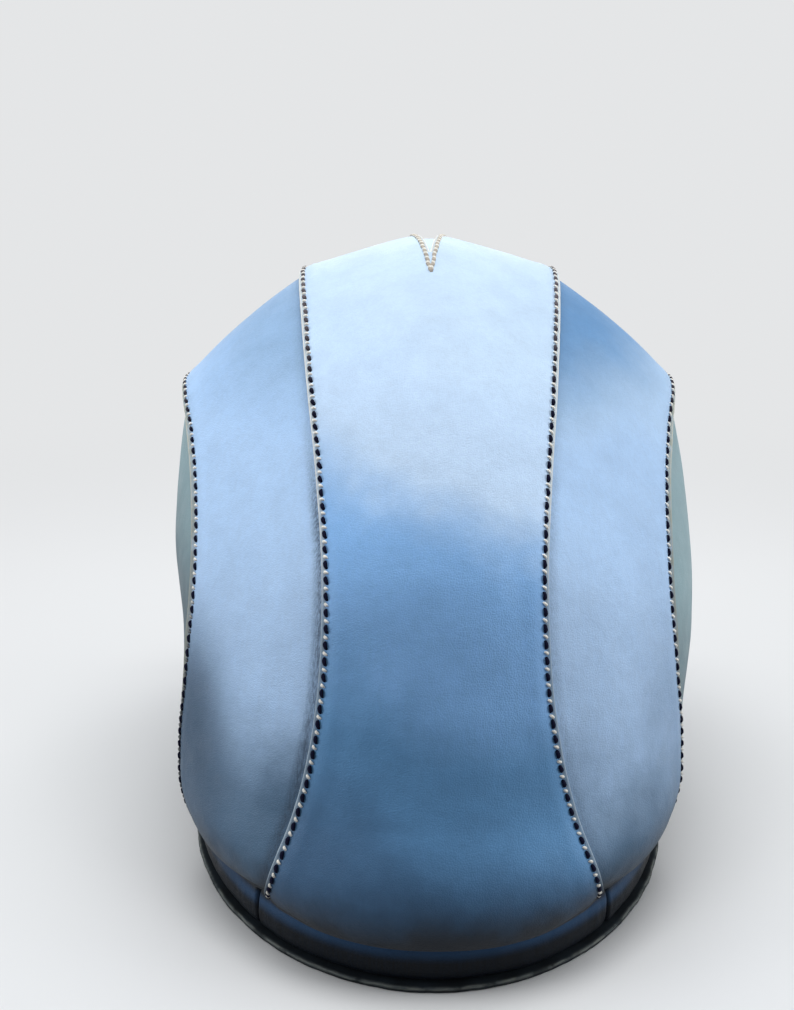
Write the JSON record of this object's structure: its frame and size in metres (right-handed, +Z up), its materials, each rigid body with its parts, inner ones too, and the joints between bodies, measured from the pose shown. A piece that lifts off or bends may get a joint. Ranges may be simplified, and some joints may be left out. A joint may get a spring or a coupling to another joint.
{
  "type": "soft helmet",
  "caption": "Upright soft helmet of lapped leather panels with padded lining, neck roll, open face and an unfastened buckled chin strap",
  "frame": {"origin": "centre of the overall box, on the surface the helmet stands on", "axes": "+Z up to the crown, +Y out of the face opening, -Y the nape, +X the wearer's right when seen from behind"},
  "size_m": [0.2132, 0.2784, 0.2352],
  "materials": {
    "centre_leather": "smooth powder-blue leather, soft sheen, fine grain",
    "side_leather": "smooth powder-blue leather, slightly clouded",
    "ear_leather": "smooth blue-grey leather with a green cast",
    "thread": "dark waxed sewing thread",
    "roll_leather": "blue leather over a stuffed roll",
    "raw_leather": "pale raw leather edge",
    "lining": "close napped cloth",
    "cushion": "quilted cloth over soft filling",
    "strap_leather": "blue strap leather",
    "metal": "dull nickel-plated metal"
  },
  "bodies": {
    "shell": {"crown_panel": "centre_leather", "crown_gusset": "centre_leather", "side_panel_left": "side_leather", "side_panel_right": "side_leather", "ear_panel_left": "ear_leather", "ear_panel_right": "ear_leather", "seam_thread_inner_left": "thread", "seam_thread_inner_right": "thread", "seam_thread_outer_left": "thread", "seam_thread_outer_right": "thread", "dart_thread": "thread", "neck_roll_back": "roll_leather", "neck_roll_left": "roll_leather", "neck_roll_right": "roll_leather", "neck_base": "raw_leather", "face_roll": "roll_leather", "lining_centre": "lining", "lining_side_left": "lining", "lining_side_right": "lining", "lining_ear_left": "lining", "lining_ear_right": "lining", "crown_pad": "cushion", "nape_pad": "cushion", "brow_pad": "cushion", "side_pad_left": "cushion", "side_pad_right": "cushion", "ear_pad_left": "cushion", "ear_pad_right": "cushion", "strap_rivet_left": "metal", "strap_rivet_right": "metal", "strap_washer_left": "metal", "strap_washer_right": "metal"},
    "strap_left": {"chin_strap_left": "strap_leather"},
    "strap_right": {"chin_strap_right": "strap_leather"},
    "buckle": {"buckle_frame": "metal"},
    "prong": {"buckle_prong": "metal"},
    "keeper": {"strap_keeper": "strap_leather"}
  },
  "joints": [
    {"name": "chin_strap_left_swing", "type": "hinge", "parent": "shell", "child": "strap_left", "pos_m": [-0.09696, 0.07231, 0.06029], "axis": [0.9719, -0.225, 0.0695], "range_deg": [0, 60]},
    {"name": "chin_strap_right_swing", "type": "hinge", "parent": "shell", "child": "strap_right", "pos_m": [0.09696, 0.07231, 0.06029], "axis": [0.9719, 0.225, -0.0695], "range_deg": [0, 60]},
    {"name": "buckle_frame_turn", "type": "hinge", "parent": "strap_left", "child": "buckle", "pos_m": [-0.01867, 0.12611, 0.01373], "axis": [0.0778, 0.5853, 0.8071], "range_deg": [0, 35]},
    {"name": "buckle_prong_turn", "type": "hinge", "parent": "buckle", "child": "prong", "pos_m": [-0.01867, 0.12611, 0.01373], "axis": [0.0778, 0.5853, 0.8071], "range_deg": [0, 60]},
    {"name": "strap_keeper_slide", "type": "slide", "parent": "strap_left", "child": "keeper", "axis": [0.997, -0.0435, -0.0645], "range_m": [-0.006, 0.006]}
  ]
}
